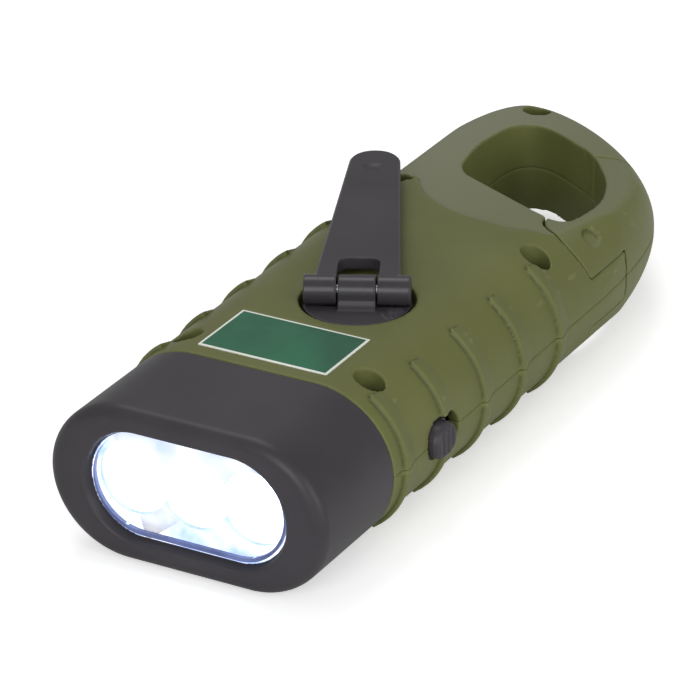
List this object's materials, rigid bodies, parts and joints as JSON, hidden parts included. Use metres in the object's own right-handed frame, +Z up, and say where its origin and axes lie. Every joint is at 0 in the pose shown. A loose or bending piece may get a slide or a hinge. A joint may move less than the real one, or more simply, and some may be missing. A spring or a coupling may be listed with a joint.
{
  "type": "hand crank flashlight",
  "caption": "Hand crank flashlight with a fold-flat crank on top, a slide switch on its side, a wide lit window at the front and a carabiner loop with a spring gate at the rear.",
  "frame": {"origin": "On the resting plane, on the middle line of the body, at the flat underside, 54.2 mm behind the front face", "axes": "+Z up to the crank side, +Y along the length towards the carabiner loop, so the light points along -Y; +X towards the slide switch"},
  "size_m": [0.0524, 0.1518, 0.0309],
  "materials": {
    "casing_green": "fine grained moulded plastic",
    "charcoal": "fine grained moulded plastic",
    "clear_window": "clear polished plastic",
    "led_resin": "clear cast resin",
    "mirror_cups": "metallised, mirror bright",
    "white_nylon": "moulded, slightly glossy",
    "steel": "bright plated",
    "brass": "machined",
    "copper_wire": "enamelled copper wire",
    "circuit_green": "lacquered board",
    "cell_sleeve": "shrink sleeve",
    "wire_red": "soft sleeve",
    "wire_black": "soft sleeve",
    "black_nylon": "moulded",
    "magnet": "ground magnet",
    "label_print": "printed film"
  },
  "bodies": {
    "casing": {"top_shell": "casing_green", "bottom_shell": "casing_green", "label_panel": "label_print", "head_bezel": "charcoal", "lens": "clear_window", "led_left": "led_resin", "led_middle": "led_resin", "led_right": "led_resin", "reflector": "mirror_cups", "led_board": "circuit_green", "circuit_board": "circuit_green", "battery_pack": "cell_sleeve", "switch_housing": "black_nylon", "stator_cup": "steel", "coil_bobbin": "black_nylon", "coil_winding": "copper_wire", "gear_base_plate": "steel", "gear_top_plate": "steel", "gear_one_pin": "steel", "gear_two_pin": "steel", "gearbox_screw_right": "steel", "gearbox_screw_left": "steel", "gearbox_screw_rear": "steel", "gate_pin": "steel", "gate_spring": "steel", "led_wire_red": "wire_red", "battery_wire_red": "wire_red", "coil_wire_red": "wire_red", "led_wire_black": "wire_black", "battery_wire_black": "wire_black", "coil_wire_black": "wire_black", "screw_front_left": "steel", "screw_front_right": "steel", "screw_rear_right": "steel", "screw_rear_left": "steel", "screw_loop_tip": "steel"},
    "crank": {"crank_disc": "charcoal", "crank_hinge_pin": "steel", "crank_screw": "steel", "drive_gear": "white_nylon"},
    "arm": {"crank_arm": "charcoal", "knob_rivet": "steel"},
    "knob": {"crank_knob": "charcoal"},
    "first_gear": {"gear_one": "white_nylon"},
    "second_gear": {"gear_two": "white_nylon"},
    "rotor": {"magnet_rotor": "magnet", "rotor_shaft": "steel", "rotor_pinion": "brass"},
    "switch": {"switch_button": "charcoal", "switch_lever": "white_nylon"},
    "gate": {"gate_upper": "casing_green", "gate_lower": "casing_green"}
  },
  "joints": [
    {"name": "crank_spin", "type": "hinge", "parent": "casing", "child": "crank", "pos_m": [0.0021, -0.0028, 0.0263], "axis": [0, 0, 1], "continuous": true},
    {"name": "crank_fold", "type": "hinge", "parent": "crank", "child": "arm", "pos_m": [0.0021, -0.0028, 0.0284], "axis": [0.9003, 0.4352, 0], "range_deg": [0, 150]},
    {"name": "knob_spin", "type": "hinge", "parent": "arm", "child": "knob", "pos_m": [-0.01792, 0.03861, 0.028], "axis": [0, 0, 1], "continuous": true},
    {"name": "first_gear_spin", "type": "hinge", "parent": "casing", "child": "first_gear", "pos_m": [0.00398, 0.0151, 0.0185], "axis": [0, 0, 1], "continuous": true},
    {"name": "second_gear_spin", "type": "hinge", "parent": "casing", "child": "second_gear", "pos_m": [-0.0102, 0.0126, 0.0155], "axis": [0, 0, 1], "continuous": true},
    {"name": "rotor_spin", "type": "hinge", "parent": "casing", "child": "rotor", "pos_m": [-0.0039, 0.00169, 0.009], "axis": [0, 0, 1], "continuous": true},
    {"name": "switch_slide", "type": "slide", "parent": "casing", "child": "switch", "axis": [0, 1, 0], "range_m": [0, 0.0028]},
    {"name": "gate_swing", "type": "hinge", "parent": "casing", "child": "gate", "pos_m": [0.0202, 0.0444, 0.0134], "axis": [0, 0, 1], "range_deg": [0, 27], "stiffness_Nm_per_rad": 0.02, "springref_deg": -22.92}
  ],
  "couplings": [
    {"joint": "first_gear_spin", "follows": "crank_spin", "ratio": -4},
    {"joint": "second_gear_spin", "follows": "crank_spin", "ratio": 12},
    {"joint": "rotor_spin", "follows": "crank_spin", "ratio": -30}
  ]
}
